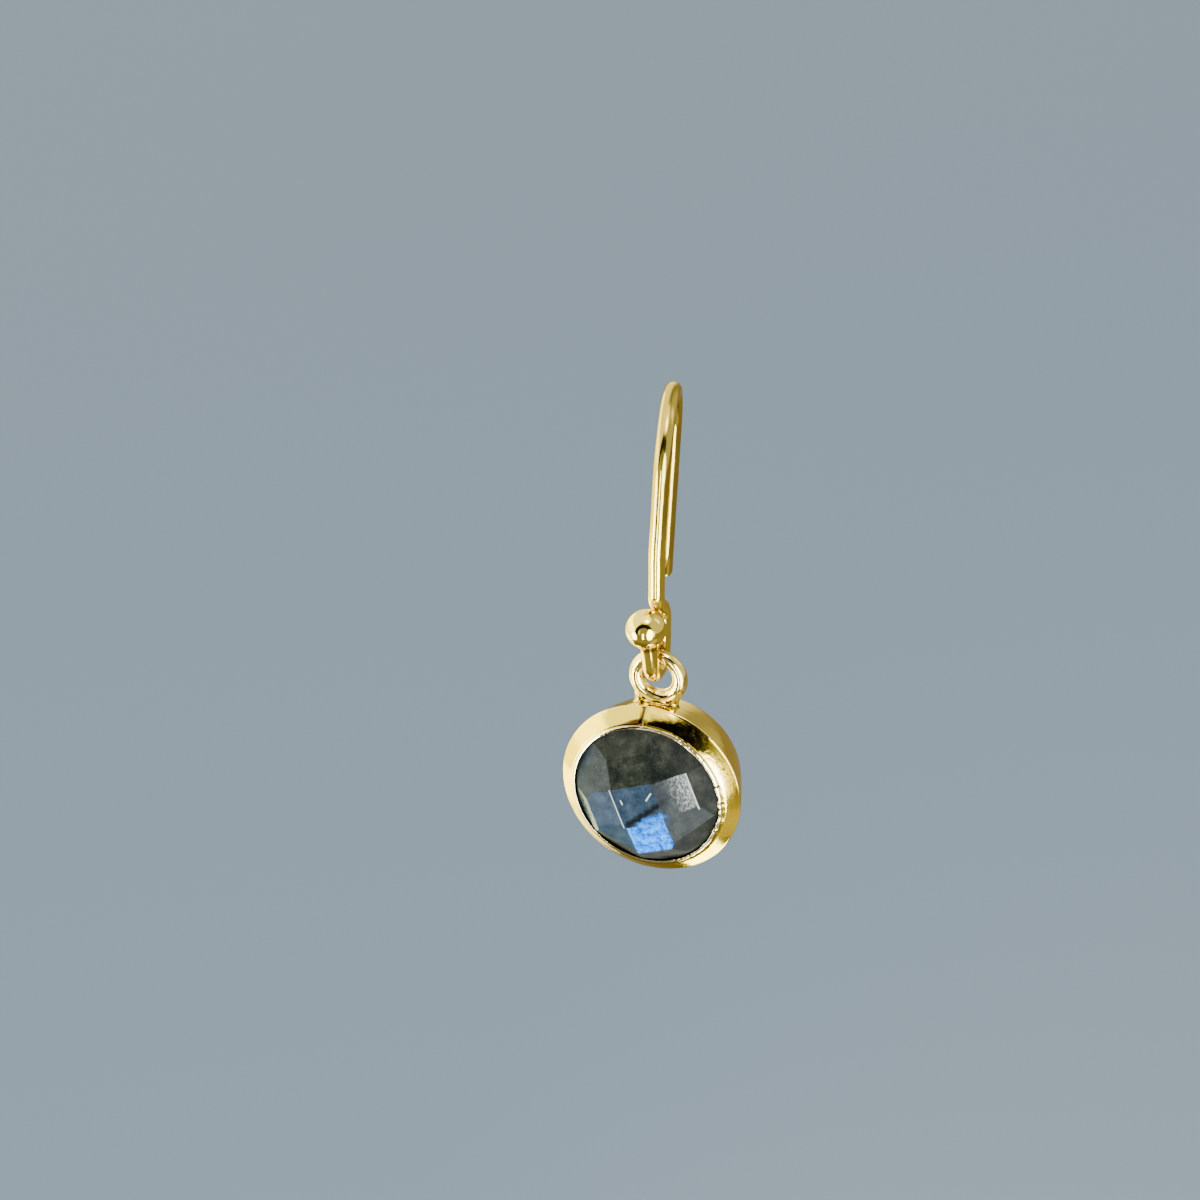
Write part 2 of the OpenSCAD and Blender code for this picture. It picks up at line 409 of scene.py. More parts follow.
mark_height = calc(polish, (-2, 4), "MULTIPLY", marks, given.outputs["Mark Depth"])
height = calc(polish, (0, 1), "ADD", line_height, wave_height)
height = calc(polish, (1, 2), "ADD", height, mark_height)
gloss = remap(polish, (-2, -2), patches, 0.35, 0.75, GLOSSY, SATIN)
gloss = calc(polish, (1, -3), "ADD", gloss, given.outputs["Dullness"])
colour = ramp(polish, (0, -1), patches, (0.3, WARM_GOLD), (0.75, DEEP_GOLD))
# Pale gold for wear and painted highlights, then brown for dirt, painted shade and painted dark reflections
colour = mixed(polish, (1, -1), given.outputs["Worn"], colour, PALE_WEAR_AND_HIGHLIGHT_GOLD)
colour = mixed(polish, (2, -1), given.outputs["Grime"], colour, DIRT_AND_SHADE_BROWN)
for label, value in (("Color", colour), ("Roughness", gloss), ("Height", height)):
    feed(polish, result.inputs[label], value)


def gold(name, line_depth, wave_depth, mark_depth):
    """Polished yellow gold plate. Its buffing lines follow the mesh's grain, it is pale where worn is 1, for
    wear and painted highlights, and brown where grime is 1, for dirt, painted shade and painted dark
    reflections, dull adds to its roughness, and marked scales the depth of its marks."""
    made, tree, shader = new_material(name)
    shader.inputs["Metallic"].default_value = 1
    shader.inputs["Specular Tint"].default_value = (*GLANCING_GOLD, 1)
    marked = mesh_value(tree, (-6, -4), "marked")
    surface = add(tree, "ShaderNodeGroup", (-3, 0), node_tree=polish)
    amounts = {
        "Grain": mesh_value(tree, (-6, 0), "grain", "Vector"),
        "Worn": mesh_value(tree, (-6, -1), "worn"),
        "Grime": mesh_value(tree, (-6, -2), "grime"),
        "Dullness": mesh_value(tree, (-6, -3), "dull"),
        "Line Depth": line_depth,
        "Wave Depth": wave_depth,
        "Mark Depth": calc(tree, (-4, -3), "MULTIPLY", marked, mark_depth),
    }
    for label, value in amounts.items():
        feed(tree, surface.inputs[label], value)
    feed(tree, shader.inputs["Base Color"], surface.outputs["Color"])
    feed(tree, shader.inputs["Roughness"], surface.outputs["Roughness"])
    feed(tree, shader.inputs["Normal"], relief(tree, (-1, -2), surface.outputs["Height"]))
    return made


ear_hook.data.materials.append(gold("gold_wire", line_depth=0.0015, wave_depth=0.0015, mark_depth=0.0015))
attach(ear_hook, "hook")
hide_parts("ear_hook")

# Bezel cup. A closed round cup of gold-plated brass, turned with a sloping front and a crisp ridge, narrowing
# to a plain back. Its thin inner lip is pushed over the stone by hand, smooth at the upper left and ragged at
# the right, and a soldered seam crosses the slope beside the hanging ring.
RIDGE_R = 5.97
LIP_R = 4.8
LIP_T = 0.16
SLOPE_H = 1.02
SIDE_H = 3.4
BACK_R = 4.95
BACK_T = 0.94
CUP_SIDES = 640
# The pendant hangs by its ring, whose middle is this far behind and above the middle of the ridge
RING_R = 1.43
RING_BACK = 1.33
RING_HEIGHT = 7.44
RING_SHIFT = 0.15
pendant = hinge + np.array([RING_SHIFT, -RING_BACK, -RING_HEIGHT - RING_R])


def on_pendant(right, up, forward):
    """A point from its place to the right of, above and in front of the middle of the ridge."""
    return pendant + np.stack([right, -forward, up], -1)


def arc(start, end, bulge, count):
    """Points from start to end on a shallow curve that bulges to the left of its run."""
    start, end = np.array(start), np.array(end)
    run = end - start
    left = np.array([-run[1], run[0]]) / np.linalg.norm(run)
    return [start + run * t + left * bulge * 4 * t * (1 - t) for t in np.linspace(0, 1, count)]


# The section, radius and distance in front of the ridge, runs from the middle of the back over the ridge and
# the lip and down the inside. The lip's crown is a narrow burnished face that leans outwards, with a groove
# behind it.
back_plate = [(r, -SIDE_H) for r in (0, 0.8, 2, 3.2, 4.2, BACK_R - 0.3)]
back_edge = arc((BACK_R - 0.2, -SIDE_H), (BACK_R + 0.02, -SIDE_H + 0.2), -0.045, 7)
side_wall = arc((BACK_R + 0.035, -SIDE_H + 0.26), (RIDGE_R - 0.03, -0.12), -0.05, 26)
ridge = arc((RIDGE_R - 0.015, -0.07), (RIDGE_R - 0.05, 0.055), -0.03, 6)
slope = arc((RIDGE_R - 0.09, 0.09), (LIP_R + 0.3, SLOPE_H - 0.17), -0.012, 24)
groove = [(LIP_R + 0.27, SLOPE_H - 0.165)]
crown_back = arc((LIP_R + 0.235, SLOPE_H - 0.155), (LIP_R + 0.205, SLOPE_H - 0.095), 0.012, 4)
crown_face = arc((LIP_R + 0.19, SLOPE_H - 0.083), (LIP_R + 0.045, SLOPE_H - 0.006), -0.009, 9)
crown_edge = arc((LIP_R + 0.03, SLOPE_H), (LIP_R, SLOPE_H - 0.05), -0.008, 4)
inside_cup = [
    (LIP_R + 0.02, SLOPE_H - 0.2), (LIP_R + 0.14, SLOPE_H - 0.3), (5.07, 0.55), (5.08, 0.1), (5.08, -0.4),
    (4.75, -1.3), (4.36, BACK_T - SIDE_H), (2.5, BACK_T - SIDE_H), (0, BACK_T - SIDE_H),
]
crown = crown_back + crown_face + crown_edge
cup_outside = back_plate + back_edge + side_wall + ridge + slope + groove + crown
cup_section = np.array(cup_outside + inside_cup)
row_r, row_f = cup_section[1:-1].T
row_run = np.cumsum(np.linalg.norm(np.diff(cup_section, axis=0), axis=1))
angles = np.linspace(0, 2 * math.pi, CUP_SIDES, endpoint=False)


def round_cup(*stretches):
    """The sum of smooth stretches round the cup, each given as its strength, its middle and its half width.
    The last two are in degrees, anticlockwise from the cup's right side as its front is seen."""
    total = np.zeros(CUP_SIDES)
    for strength, middle, width in stretches:
        total += strength * hump((np.degrees(angles) - middle + 180) % 360 - 180, 0, width)
    return total


# How much each row of the section belongs to a part of the front. across runs from 0 at the lip to 1 at the
# ridge. A row is in front of the ridge from FRONT_FROM on, and near the lip from LIP_FROM on.
FRONT_FROM = 0.06
LIP_FROM = 0.5
in_front = row_f > FRONT_FROM
on_lip = row_f > LIP_FROM
lip_share = np.clip(1.3 - np.abs(row_r - LIP_R - 0.1) / 0.3, 0, 1) * on_lip
across = rise(row_r, LIP_R + LIP_T, RIDGE_R - LIP_R - LIP_T) * in_front
slope_share = rise(row_r, LIP_R + LIP_T, 0.1) * in_front
behind_lip = hump(row_r, LIP_R + 0.28, 0.09) * on_lip
groove_share = hump(row_r, LIP_R + 0.25, 0.045) * on_lip
crown_share = (row_f > SLOPE_H - 0.1) & (row_r > LIP_R - 0.01) & (row_r < LIP_R + 0.21)

# The hand-pushed lip is ragged at the right and dented in two places. The slope is a little hollow, crowned
# at the top and right and dipped behind the ragged lip, and the seam is sunk across it.
SEAM_AT = 94.5
SLOPE_HOLLOW = 0.012
ragged = 0.12 + round_cup((1, 2, 26), (0.8, -48, 20), (0.35, 60, 18))
lip_dents = round_cup((0.05, -6, 7), (0.04, -40, 6))
slope_crown = round_cup((0.055, 18, 26), (0.055, 88, 20), (0.045, 84, 9)) - SLOPE_HOLLOW
lip_dip = round_cup((0.05, 0, 22), (0.05, -45, 16))
seam_dip = round_cup((0.07, SEAM_AT, 1.1), (0.02, SEAM_AT - 2.5, 1.6))
lip_line = LIP_R * np.stack([np.cos(angles), np.sin(angles), np.zeros(CUP_SIDES)], -1)
lip_wave = ragged * hand_waves(lip_line, (0.035, 0.9, 11), (0.02, 0.35, 12))
lip_drift = hand_waves(lip_line, (0.012, 2.5, 13))
radius = row_r[:, None] + np.outer(lip_share, lip_wave + lip_drift)
forward = (
    row_f[:, None] - np.outer(lip_share, np.abs(lip_wave) + lip_dents)
    + np.outer(4 * across * (1 - across), slope_crown)
    - np.outer(behind_lip, lip_dip) - np.outer(slope_share, seam_dip)
)
cup_points = on_pendant(radius * np.cos(angles), radius * np.sin(angles), forward).reshape(-1, 3)

# Hand finishing leaves the outside a little uneven, and it is sunk so that the cup stays inside its real size
FINISH_WAVES = ((0.007, 2.6, 21), (0.0035, 0.9, 22))
FINISH_SINK = 0.012
CUP_MIDDLE = -1.2
outward = cup_points - on_pendant(0.0, 0.0, CUP_MIDDLE)
outward /= np.linalg.norm(outward, axis=1)[:, None]
outside = np.repeat(np.arange(len(row_r)) < len(cup_outside) - 1, CUP_SIDES)
cup_points += outward * ((hand_waves(cup_points, *FINISH_WAVES) - FINISH_SINK) * outside)[:, None]
GRAIN_R = 0.25
cup_grain = np.stack([
    np.repeat(row_run[:-1], CUP_SIDES),
    np.tile(GRAIN_R * np.cos(angles), len(row_r)),
    np.tile(GRAIN_R * np.sin(angles), len(row_r)),
], -1)

# The crown is pale from wear and a painted highlight, and a painted white highlight lies on the slope's inner
# half at the right. Painted shade fills the groove, and dirt fills the seam. A painted dark reflection and
# brown flakes cover the slope at the upper right, and a thin painted dark reflection follows the lip near the
# seam.
spots = np.stack([radius * np.cos(angles), radius * np.sin(angles), forward], -1).reshape(-1, 3)
blotches = uneven(spots, 0.5, 41).reshape(radius.shape)
flakes = uneven(spots, 0.28, 42).reshape(radius.shape)
inner_half = slope_share * rise(0.55 - across, 0, 0.2)
half_way = hump(across, 0.62, 0.22)
# The crown is pale from wear and a painted highlight
cup_worn = np.outer(0.9 * crown_share + 0.2 * (row_f < FRONT_FROM), np.ones(CUP_SIDES))
# A painted white highlight on the slope's inner half at the right, beside the lip
cup_worn += np.outer(inner_half, round_cup((0.9, 25, 13)))
# Painted shade in the groove behind the lip
groove_shade = np.outer(groove_share, 0.3 + round_cup((0.8, 55, 55), (0.6, -40, 30)))
seam_dirt = np.outer(slope_share, round_cup((1.1, SEAM_AT, 1.3)))
# A blotchy painted dark reflection on the slope at the upper right
painted_dark_reflection = np.outer(slope_share, round_cup((1, 62, 17))) * np.clip(0.7 + 0.5 * blotches, 0, 0.95)
flaked = np.outer(half_way, round_cup((1, 26, 9))) * np.clip(2.4 * flakes - 0.4, 0, 0.95)
# A thin painted dark reflection along the lip near the seam
line_width = 0.16 + round_cup((0.3, 94, 13))
lip_line_reflection = slope_share[:, None] * rise(line_width - across[:, None], 0, 0.08) * round_cup((1, 99, 17))
cup_grime = np.maximum.reduce([groove_shade + seam_dirt, painted_dark_reflection, flaked, lip_line_reflection])
cup_dull = 0.05 * np.outer(slope_share, 1 - round_cup((1, 65, 38))) + 0.5 * flaked
cup_marks = np.outer(slope_share + 0.3, 0.15 + round_cup((0.55, 60, 26), (0.7, 24, 14), (0.5, -3, 14)))
cup = new_piece(
    "bezel_cup",
    with_poles(cup_points, on_pendant(0.0, 0.0, cup_section[0, 1]), on_pendant(0.0, 0.0, cup_section[-1, 1])),
    skin(len(row_r), CUP_SIDES, turned_over=True),
    with_poles(cup_grain, (0, 0, 0), (row_run[-1], 0, 0)),
    worn=with_poles(cup_worn),
    grime=with_poles(np.clip(cup_grime, 0, 1)),
    dull=with_poles(cup_dull),
    marked=with_poles(cup_marks),
)
cup.data.materials.append(gold("gold_cup", line_depth=0.003, wave_depth=0.004, mark_depth=0.010))
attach(cup, "pendant")
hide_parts("bezel")

# Hanging ring. A ring of round wire, stood on top of the cup behind its ridge and soldered there with plenty
# of solder, which runs up both sides of the ring as two flared legs with a lump between them.
RING_WIRE_R = 0.45
PLATED = 0.05
WALL_SLOPE = (RIDGE_R - BACK_R) / SIDE_H
WALL_R = RIDGE_R - RING_BACK * WALL_SLOPE
# The wall's height over the ring's middle. The cast wall is sunk by a hair, so that the cup's mesh covers it.
WALL_AT = WALL_R - RING_HEIGHT
WALL_SINK = 0.014
WALL_COSINE = 0.957
# Each rod of solder: its two ends to the right of, behind and above the ring's middle, and its radius at each
LEFT_LEG = ((-1.2, 0, -0.85), (-1.08, 0, WALL_AT - 0.1), 0.36, 0.46)
RIGHT_LEG = ((1.2, 0, -0.85), (0.92, 0, WALL_AT - 0.1), 0.36, 0.4)
BAR = ((-0.8, 0.02, -1.8), (0.8, 0, -1.84), 0.36, 0.38)
LEG_FILLET = 0.1
BAR_FILLET = 0.12
RING_FILLET = 0.14
WALL_FILLET = 0.34
SOLDER_WAVES = (0.045, 0.7, 31)
# Up to SPREAD_TOP over the wall, the solder ends inside this flattened ball, and it stays behind the ridge
SPREAD_SHAPE = (1.2, 0.62, 1)
SPREAD_R = 2.15
SPREAD_TOP = 0.35
RIDGE_CLEAR = 0.15
CAST_STEP = 0.045
CAST_LOW = (-3.0, -1.6, -3.4)
CAST_HIGH = (3.0, 1.6, 2.0)
ring_middle = pendant + np.array([-0.04, RING_BACK, RING_HEIGHT])


def blend(a, b, width):
    """The nearer of two distance fields, filleted where they meet."""
    share = np.clip(0.5 + 0.5 * (b - a) / width, 0, 1)
    return b + (a - b) * share - width * share * (1 - share)


def rod(p, start, end, start_r, end_r):
    """Distance to a round-ended rod that changes its radius along its length."""
    start, end = np.array(start), np.array(end)
    run = end - start
    share = np.clip((p - start) @ run / (run @ run), 0, 1)
    return np.linalg.norm(p - start - share[:, None] * run, axis=1) - (start_r + (end_r - start_r) * share)


def ring_field(p):
    """Distance to the ring, its solder and the wall below, from the ring's middle: right, back, up."""
    right, back, up = p.T
    thicker = RING_WIRE_R + PLATED * np.clip(0.6 - up / RING_R, 0, 1)
    hoop = np.hypot(np.hypot(right, up) - RING_R, back) - thicker
    legs = blend(rod(p, *LEFT_LEG), rod(p, *RIGHT_LEG), LEG_FILLET)
    solder = blend(legs, rod(p, *BAR), BAR_FILLET) + hand_waves(p, SOLDER_WAVES)
    reach = np.hypot(right, up + RING_HEIGHT)
    wall = (reach - WALL_R + WALL_SLOPE * back) * WALL_COSINE + WALL_SINK
    body = blend(blend(hoop, solder, RING_FILLET), wall, WALL_FILLET)
    spread = np.linalg.norm((p - [0, 0, WALL_AT]) / SPREAD_SHAPE, axis=1) - SPREAD_R
    behind_ridge = RIDGE_CLEAR - RING_BACK - back
    spread_ends = np.where(up > WALL_AT + SPREAD_TOP, -np.inf, spread)
    return np.maximum(np.maximum(body, behind_ridge), spread_ends)


def cast(field, low, high, step):
    """A closed mesh of a distance field: one point in each cell that the surface crosses, moved onto it."""
    axes = [np.arange(a, b + step, step) for a, b in zip(low, high)]
    grid = np.stack(np.meshgrid(*axes, indexing="ij"), -1)
    inside = field(grid.reshape(-1, 3)).reshape(grid.shape[:3]) < 0
    ends = (slice(None, -1), slice(1, None))
    corners = sum(inside[i, j, k].astype(int) for i in ends for j in ends for k in ends)
    crossed = (corners > 0) & (corners < 8)
    number = -np.ones(crossed.shape, dtype=int)
    number[crossed] = np.arange(crossed.sum())
    points = grid[:-1, :-1, :-1][crossed] + step / 2
    tiny = 1e-3
    for _ in range(6):
        slopes = np.stack([
            (field(points + tiny * axis) - field(points - tiny * axis)) / (2 * tiny) for axis in np.eye(3)
        ], -1)
        move = slopes * (field(points) / np.maximum((slopes ** 2).sum(1), 0.05))[:, None]
        points = points - np.clip(move, -step / 2, step / 2)
    faces = []
    for axis in range(3):
        a, b = [k for k in range(3) if k != axis]
        for cell in np.argwhere(inside != np.roll(inside, -1, axis)):
            if cell[axis] >= number.shape[axis] or min(cell[a], cell[b]) < 1:
                continue
            if cell[a] >= number.shape[a] or cell[b] >= number.shape[b]:
                continue
            four = []
            for da, db in ((1, 1), (0, 1), (0, 0), (1, 0)):
                at = cell.copy()
                at[a] -= da
                at[b] -= db
                four.append(int(number[tuple(at)]))
            outwards = inside[tuple(cell)] == (axis != 1)
            faces.append(four if outwards else four[::-1])
    return points, faces


ring_points, ring_faces = cast(ring_field, CAST_LOW, CAST_HIGH, CAST_STEP)
ring_right, ring_back, ring_up = ring_points.T
ring_turn = np.arctan2(ring_up, ring_right)
off_middle = np.hypot(ring_right, ring_up) - RING_R
GRAIN_ROUND = 0.1
ring_grain = np.stack([
    off_middle, ring_back + GRAIN_ROUND * np.cos(ring_turn), GRAIN_ROUND * np.sin(ring_turn),
], -1)
# The solder is lumpy and darkened by blotchy painted shade, and the ring's top carries painted shade where it
# touches the loop
SOLDER_OFF = 0.06
SOLDER_FADE = 0.12
# Away from the solder the ring is paler gold all over, a painted highlight
RING_PAINTED_HIGHLIGHT = 0.3
RING_CONTACT_FADE = 0.15
soldered = rise(np.hypot(off_middle, ring_back) - RING_WIRE_R, SOLDER_OFF, SOLDER_FADE)
# Blotchy painted shade over the solder
solder_shade = soldered * np.clip(0.4 + hand_waves(ring_points, (1.1, 0.28, 33)), 0.05, 0.97)
from_hinge = np.linalg.norm(ring_points + ring_middle - hinge, axis=1)
# Painted shade on the ring's top where the loop touches it
contact_shade = np.clip((CONTACT_REACH - from_hinge) / RING_CONTACT_FADE, 0, 0.8)
hanging_ring = new_piece(
    "hanging_ring_and_solder", ring_points + ring_middle, ring_faces, ring_grain,
    worn=RING_PAINTED_HIGHLIGHT * (1 - soldered), grime=np.maximum(solder_shade, contact_shade), marked=0.15 + 0.85 * soldered,
)
ring_gold = gold("gold_ring_and_solder", line_depth=0.0012, wave_depth=0.003, mark_depth=0.035)
hanging_ring.data.materials.append(ring_gold)
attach(hanging_ring, "pendant")

# Stone. A round labradorite, cut by hand on a turned grid: a flat table, eight facets round it and eight more
# that run under the lip, over a plain base. Grey-green and cloudy, its flash is painted into its colour as a
# slaty sheen in some facets and blue in one. Two edges carry a painted white highlight, and a dark flaw
# crosses the table above the flash.
GRID_TURN = 21.5
# The table is a hair under the CAD's 2.3, so that the finer mesh stays inside the CAD model's box
TABLE_H = 2.298
# Places of the table's low and high sides along the grid, and the slope of the facets beyond each
SIDES = ((-1.6, 1.34), (-1.4, 1.4))
SLOPES = ((-0.2, 0.43), (-0.1, 0.48))
CORNER_DROP = 0.03
# Each row is an outer facet: turn from the grid's axis, slope, height where it meets the lip
OUTER_FACETS = [
    (0, 0.59, 0.6), (45, 0.75, 0.3), (90, 0.62, 0.43), (135, 0.8, 0.6),
    (180, 1.03, 0.65), (225, 1, 0.65), (270, 1.04, 0.65), (315, 0.85, 0.65),
]
STONE_R = 4.98
BASE_R = 4.25
BASE_H = BACK_T - SIDE_H + 0.1
# The blank, radius and height
BLANK = [
    (BASE_R, BASE_H), (STONE_R, -0.35), (STONE_R, 0.5), (LIP_R - 0.08, 0.78), (LIP_R - 0.4, 1.4),
    (LIP_R - 0.4, TABLE_H),
]
BLANK_STEP = 2.25
ARRIS_WEAR = 0.045
# An inner facet's number comes from its column and row on the grid, each -1, 0 or 1, and the table's are both
# 0. The outer facets count on from FIRST_OUTER, and every other face of the stone is 0.
TABLE = 22
FIRST_OUTER = 100
PALE_SLIVER = FIRST_OUTER + 4
RIGHT_SLATY = 0.2


def facet_at(column, row):
    return TABLE + 10 * column + row


# How slaty, blue and pale each facet looks. The slate and the blue are the stone's flash, painted into its
# colour as a sheen, and the pale sliver's paleness is a painted reflection.
PLAIN = (0, 0, 0)
FACET_LOOKS = {
    facet_at(0, 0): (0.7, 0, 0),
    facet_at(-1, 0): (0.9, 0, 0),
    facet_at(0, -1): (0, 1, 0),
    facet_at(1, 0): (RIGHT_SLATY, 0, 0),
    facet_at(-1, -1): (0.7, 0, 0.22),
    facet_at(1, -1): (0.05, 0, 0.12),
    facet_at(-1, 1): (0.3, 0, 0),
    FIRST_OUTER + 3: (0.4, 0, 0.12),
    # The pale sliver's paleness is a painted reflection
    PALE_SLIVER: (0, 0, 1),
}
# Roughness of the base, the girdle and the outer facets, apart from the pale sliver
MATTE = 0.6

stone_mesh = bmesh.new()
blank_angles = np.radians(np.arange(0, 360, BLANK_STEP))
loops = [
    [stone_mesh.verts.new((r * math.cos(a), r * math.sin(a), h)) for a in blank_angles] for r, h in BLANK
]
stone_mesh.faces.new(loops[0][::-1])
stone_mesh.faces.new(loops[-1])
for low, high in zip(loops, loops[1:]):
    for k in range(len(low)):
        after = (k + 1) % len(low)
        stone_mesh.faces.new((low[k], low[after], high[after], high[k]))
facet_number = stone_mesh.faces.layers.int.new("facet")
# Each cut is a facet's number, its slope along and across the grid, and its height over the stone's middle
cuts = []
for column in (-1, 0, 1):
    for row in (-1, 0, 1):
        fall, height = [0, 0], TABLE_H - CORNER_DROP * abs(column * row)
        for axis, k in enumerate((column, row)):
            if k:
                fall[axis] = SLOPES[axis][(k + 1) // 2]
                height += fall[axis] * SIDES[axis][(k + 1) // 2]
        if column or row:
            cuts.append((facet_at(column, row), fall, height))
for k, (turn, steep, lip_height) in enumerate(OUTER_FACETS):
    a = math.radians(turn)
    cuts.append((FIRST_OUTER + k, (steep * math.cos(a), steep * math.sin(a)), lip_height + steep * LIP_R))
for number, fall, height in cuts:
    cut = bmesh.ops.bisect_plane(
        stone_mesh, geom=stone_mesh.verts[:] + stone_mesh.edges[:] + stone_mesh.faces[:],
        dist=1e-6, plane_co=(0, 0, height), plane_no=(fall[0], fall[1], 1), clear_outer=True,
    )
    rim = [edge for edge in cut["geom_cut"] if isinstance(edge, bmesh.types.BMEdge)]
    for face in bmesh.ops.contextual_create(stone_mesh, geom=rim)["faces"]:
        face[facet_number] = number
for face in stone_mesh.faces:
    if face[facet_number] == 0 and face.normal.z > 0.999:
        face[facet_number] = TABLE
bmesh.ops.recalc_face_normals(stone_mesh, faces=stone_mesh.faces[:])
arrises = [
    edge for edge in stone_mesh.edges
    if len(edge.link_faces) == 2 and all(face[facet_number] for face in edge.link_faces)
]
bmesh.ops.bevel(
    stone_mesh, geom=arrises, offset=ARRIS_WEAR, segments=2, profile=0.5, affect="EDGES", clamp_overlap=True,
)
LOOKS = ("slaty", "blue", "pale", "matte")
layers = [stone_mesh.faces.layers.float.new(label) for label in LOOKS]
for face in stone_mesh.faces:
    number = face[facet_number]
    polished = 0 < number < FIRST_OUTER or number == PALE_SLIVER
    for layer, value in zip(layers, (*FACET_LOOKS.get(number, PLAIN), 0 if polished else MATTE)):
        face[layer] = value
    face.smooth = number == 0
# spot keeps each point's place on the facet grid, in millimetres, for the material
spot = stone_mesh.verts.layers.float_vector.new("spot")
grid_turn = about_z(GRID_TURN)[:2, :2]
for vertex in stone_mesh.verts:
    vertex[spot] = vertex.co
    right, up = grid_turn @ np.array(vertex.co[:2])
    vertex.co = on_pendant(right, up, vertex.co.z) * MILLIMETRE
stone_data = bpy.data.meshes.new("stone_labradorite")
stone_mesh.to_mesh(stone_data)
stone_mesh.free()
stone = new_object("stone_labradorite", stone_data)


def vector_calc(tree, place, operation, a, b):
    """The result of one step of arithmetic on two vectors, or on a vector and a scale."""
    made = add(tree, "ShaderNodeVectorMath", place, operation=operation)
    feed(tree, made.inputs[0], a)
    feed(tree, made.inputs["Scale" if operation == "SCALE" else 1], b)
    return made.outputs["Value" if operation in ("DOT_PRODUCT", "DISTANCE") else "Vector"]


# A streak is 1 along a short line on the stone's face and fades to 0 within its width
streak, given, result = new_group(
    "streak",
    [("Spot", "Vector"), ("Start", "Vector"), ("Run", "Vector"), ("Width", "Float", 0.1)],
    [("Mask", "Float")],
)
run = given.outputs["Run"]
flat = vector_calc(streak, (-5, 1), "MULTIPLY", given.outputs["Spot"], (1, 1, 0))
offset = vector_calc(streak, (-4, 0), "SUBTRACT", flat, given.outputs["Start"])
along_run = vector_calc(streak, (-3, 1), "DOT_PRODUCT", offset, run)
run_square = vector_calc(streak, (-3, -1), "DOT_PRODUCT", run, run)
share = calc(streak, (-2, 0), "DIVIDE", along_run, run_square, clamp=True)
foot = vector_calc(streak, (-1, 0), "SCALE", run, share)
gap = vector_calc(streak, (0, 0), "DISTANCE", offset, foot)
fade = calc(streak, (1, 0), "DIVIDE", gap, given.outputs["Width"])
feed(streak, result.inputs["Mask"], calc(streak, (2, 0), "SUBTRACT", 1, fade, clamp=True))


def line_mask(tree, place, stroke, at):
    """1 along a stroke on the stone's face, given as its start, its run and its width."""
    made = add(tree, "ShaderNodeGroup", place, node_tree=streak)
    start, run, width = stroke
    for label, value in (("Start", (*start, 0)), ("Run", (*run, 0)), ("Width", width), ("Spot", at)):
        feed(tree, made.inputs[label], value)
    return made.outputs["Mask"]


# Strokes on the facet grid. The painted blue flash spreads a little over the table's lower right and the
# facet beside it, and the flaw, the comma and the nick lie on the table.
FLASH_SPREAD = ((-0.2, -1.4), (1.5, 0.2), 0.55)
FLAW = ((-1.26, -1.2), (2.9, 1.15), 0.3)
COMMA = ((0.62, 0.3), (0.48, 0.42), 0.075)
NICK = ((-1.08, 0.3), (-0.02, 0.26), 0.07)
RUBBED_PATCH = ((3.3, -1.3), (-0.1, 2.3), 1.2)
# Two edges that carry a painted white highlight
LEFT_EDGE = ((SIDES[0][0], -1.36), (0, 2.74), 0.05)
RIGHT_EDGE = ((3.44, -1.3), (0, 2.56), 0.06)
BODY_TONES = ((0.38, (0.003, 0.005, 0.004)), (0.5, (0.0115, 0.0145, 0.012)), (0.62, (0.032, 0.035, 0.027)))
SLATE_TONES = ((0.38, (0.009, 0.024, 0.052)), (0.62, (0.030, 0.056, 0.10)))
FLASH_TONES = ((0.38, (0.0, 0.045, 0.26)), (0.48, (0.0, 0.13, 0.72)), (0.64, (0.0, 0.36, 1.0)))
PALE_BLUE = (0.045, 0.075, 0.09)
FLAW_BLACK = (0.004, 0.006, 0.008)
WEAR_AND_HIGHLIGHT_WHITE = (0.42, 0.47, 0.46)
labradorite, tree, shader = new_material("labradorite")
shader.location = (1400, 0)
tree.nodes["Material Output"].location = (1700, 0)
shader.inputs["IOR"].default_value = 1.56
shader.inputs["Specular IOR Level"].default_value = 0.08
at_spot = mesh_value(tree, (-12, 0), "spot", "Vector")
slaty, blue, pale, matte = [mesh_value(tree, (-12, -2 - k), label) for k, label in enumerate(LOOKS)]

# The face's position, pushed about a little so that marks have broken edges
shift = noise(tree, (-10, 2), at_spot, 2.5, 4, 0.6, "Color")
shift = vector_calc(tree, (-9, 2), "SUBTRACT", shift, (0.5, 0.5, 0.5))
shift = vector_calc(tree, (-8, 2), "SCALE", shift, 0.5)
at_ragged = vector_calc(tree, (-7, 2), "ADD", shift, at_spot)
at_combed = vector_calc(tree, (-11, -3), "MULTIPLY", at_ragged, (1.6, 0.7, 1))
soft = calc(tree, (-9, 0), "MULTIPLY", noise(tree, (-10, 0), at_spot, 0.9, 10, 0.74), 0.72)
fine = calc(tree, (-9, -1), "MULTIPLY", noise(tree, (-11, -1), at_spot, 9, 4, 0.7), 0.28)
cloud = calc(tree, (-8, 0), "ADD", soft, fine)
grain = noise(tree, (-10, -1), at_spot, 4.5, 6, 0.7)
veins = noise(tree, (-10, -2), at_ragged, 2.6, 6, 0.68)
grit = noise(tree, (-10, -3), at_combed, 6, 8, 0.7)

